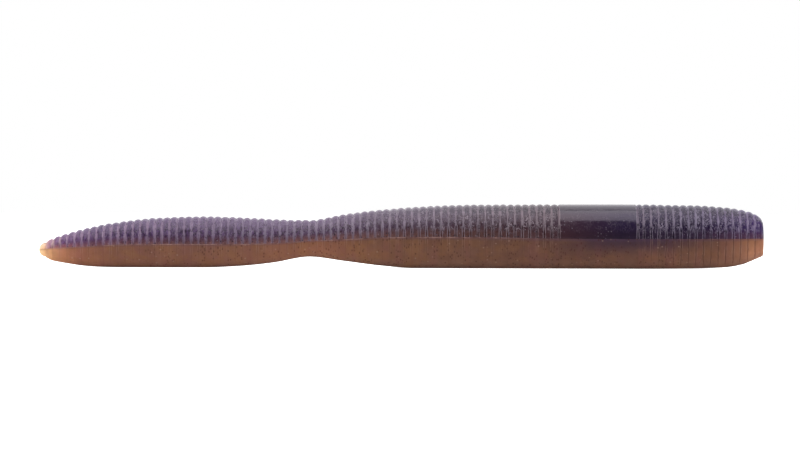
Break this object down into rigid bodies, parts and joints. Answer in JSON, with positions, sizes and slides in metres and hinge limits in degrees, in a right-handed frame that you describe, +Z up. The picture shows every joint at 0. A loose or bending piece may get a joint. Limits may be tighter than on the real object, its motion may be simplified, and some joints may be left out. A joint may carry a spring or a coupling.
{
  "type": "soft plastic worm",
  "caption": "Ribbed soft plastic fishing worm of two bonded colour layers, with a smooth collar, blunt nose, thin waist and full tail. It bends along its whole length.",
  "frame": {"origin": "on the ground under the middle of the worm's length, where the belly rests", "axes": "+X along the worm towards its nose, +Z up through the dark back, +Y to the worm's left side"},
  "size_m": [0.127, 0.0112, 0.0112],
  "materials": {
    "back_plastisol": "satin",
    "belly_plastisol": "satin"
  },
  "bodies": {
    "head": {"head_back": "back_plastisol", "head_belly": "belly_plastisol"},
    "neck": {"neck_back": "back_plastisol", "neck_belly": "belly_plastisol"},
    "collar": {"collar_back": "back_plastisol", "collar_belly": "belly_plastisol"},
    "fore_body": {"fore_body_back": "back_plastisol", "fore_body_belly": "belly_plastisol"},
    "mid_body": {"mid_body_back": "back_plastisol", "mid_body_belly": "belly_plastisol"},
    "front_waist": {"front_waist_back": "back_plastisol", "front_waist_belly": "belly_plastisol"},
    "rear_waist": {"rear_waist_back": "back_plastisol", "rear_waist_belly": "belly_plastisol"},
    "tail_root": {"tail_root_back": "back_plastisol", "tail_root_belly": "belly_plastisol"},
    "tail_middle": {"tail_middle_back": "back_plastisol", "tail_middle_belly": "belly_plastisol"},
    "tail_end": {"tail_end_back": "back_plastisol", "tail_end_belly": "belly_plastisol"}
  },
  "joints": [
    {"name": "head_sway", "type": "hinge", "parent": "neck", "child": "head", "pos_m": [0.0505, 0, 0.00561], "axis": [0, 0, 1], "range_deg": [-35, 35], "stiffness_Nm_per_rad": 0.008},
    {"name": "neck_lift", "type": "hinge", "parent": "collar", "child": "neck", "pos_m": [0.03455, 0, 0.00559], "axis": [0, 1, 0], "range_deg": [-35, 35], "stiffness_Nm_per_rad": 0.008},
    {"name": "collar_sway", "type": "hinge", "parent": "fore_body", "child": "collar", "pos_m": [0.02055, 0, 0.00556], "axis": [0, 0, 1], "range_deg": [-35, 35], "stiffness_Nm_per_rad": 0.008},
    {"name": "fore_body_lift", "type": "hinge", "parent": "mid_body", "child": "fore_body", "pos_m": [0.00765, 0, 0.00547], "axis": [0, 1, 0], "range_deg": [-35, 35], "stiffness_Nm_per_rad": 0.0075},
    {"name": "front_waist_sway", "type": "hinge", "parent": "mid_body", "child": "front_waist", "pos_m": [-0.0046, 0, 0.00531], "axis": [0, 0, 1], "range_deg": [-40, 40], "stiffness_Nm_per_rad": 0.004},
    {"name": "waist_lift", "type": "hinge", "parent": "front_waist", "child": "rear_waist", "pos_m": [-0.0162, 0, 0.00513], "axis": [0, 1, 0], "range_deg": [-45, 45], "stiffness_Nm_per_rad": 0.0014},
    {"name": "tail_root_sway", "type": "hinge", "parent": "rear_waist", "child": "tail_root", "pos_m": [-0.0278, 0, 0.00455], "axis": [0, 0, 1], "range_deg": [-45, 45], "stiffness_Nm_per_rad": 0.003},
    {"name": "tail_lift", "type": "hinge", "parent": "tail_root", "child": "tail_middle", "pos_m": [-0.0394, 0, 0.0044], "axis": [0, 1, 0], "range_deg": [-45, 45], "stiffness_Nm_per_rad": 0.0036},
    {"name": "tail_end_sway", "type": "hinge", "parent": "tail_middle", "child": "tail_end", "pos_m": [-0.051, 0, 0.00383], "axis": [0, 0, 1], "range_deg": [-45, 45], "stiffness_Nm_per_rad": 0.002}
  ]
}
